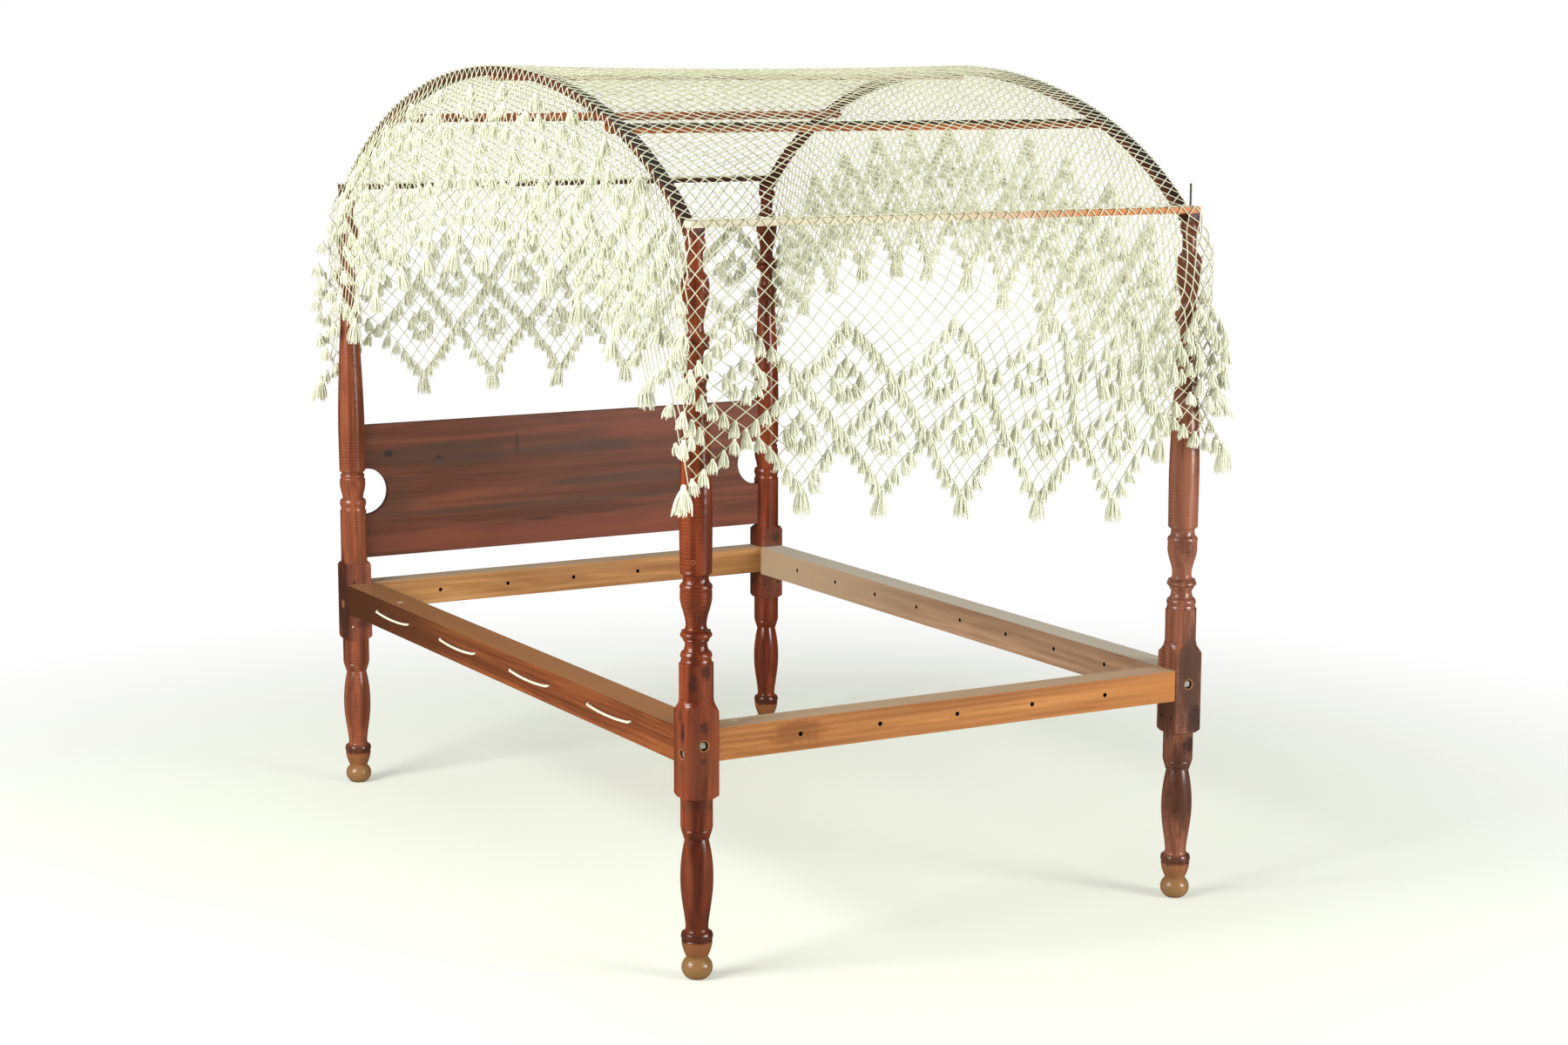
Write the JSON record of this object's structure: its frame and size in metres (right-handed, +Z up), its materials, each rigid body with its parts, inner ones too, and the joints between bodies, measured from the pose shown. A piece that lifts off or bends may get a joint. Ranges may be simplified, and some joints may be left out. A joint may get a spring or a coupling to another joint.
{
  "type": "rope bed",
  "caption": "Tall-post rope bed with turned posts, drilled rails, a plain headboard and an arched tester frame hung with a tasselled knotted net.",
  "frame": {"origin": "on the floor, midway between the four posts", "axes": "+X to the right seen from the foot, +Y from foot to head, +Z up"},
  "size_m": [1.412, 2.129, 1.9768],
  "materials": {
    "post_maple": "stained maple with fine cross curl, satin",
    "foot_rail_wood": "orange-brown wood, worn, matte",
    "head_rail_wood": "golden-brown wood, worn, matte",
    "left_rail_wood": "medium brown wood, worn, matte",
    "right_rail_wood": "orange-brown wood, worn, matte",
    "headboard_pine": "red-brown stained pine with dark streaks, matte",
    "bolt_iron": "grey wrought iron, worn",
    "plug_wood": "pale end grain, matte",
    "rope_cotton": "off-white twisted cotton rope",
    "rib_wood": "reddish-brown stain, nearly black on top",
    "pale_lath_wood": "pale beige to tan wood, matte",
    "dark_lath_wood": "reddish-brown stain, matte",
    "slat_wood": "orange-red stained wood, matte",
    "nail_iron": "black iron",
    "net_cotton": "off-white knotted cotton cord"
  },
  "bodies": {
    "bedstead": {"footpost_left": "post_maple", "footpost_right": "post_maple", "headpost_left": "post_maple", "headpost_right": "post_maple", "foot_rail": "foot_rail_wood", "head_rail": "head_rail_wood", "side_rail_left": "left_rail_wood", "side_rail_right": "right_rail_wood", "headboard": "headboard_pine", "bed_bolts": "bolt_iron", "bolt_nuts": "bolt_iron", "bolt_hole_plugs": "plug_wood", "post_pins": "bolt_iron", "rope_loop_1": "rope_cotton", "rope_loop_2": "rope_cotton", "rope_loop_3": "rope_cotton", "rope_loop_4": "rope_cotton"},
    "tester": {"arch_rib_left": "rib_wood", "arch_rib_right": "rib_wood", "foot_lath": "pale_lath_wood", "head_lath": "dark_lath_wood", "crown_slat": "slat_wood", "front_slat": "slat_wood", "rear_slat": "slat_wood", "slat_nails": "nail_iron", "slat_clip": "nail_iron", "canopy_top_net": "net_cotton", "canopy_foot_net": "net_cotton", "canopy_head_net": "net_cotton", "canopy_left_net": "net_cotton", "canopy_right_net": "net_cotton", "point_tassels": "net_cotton"}
  },
  "joints": [
    {"name": "tester_lift", "type": "slide", "parent": "bedstead", "child": "tester", "axis": [0, 0, 1], "range_m": [0, 0.03]}
  ]
}
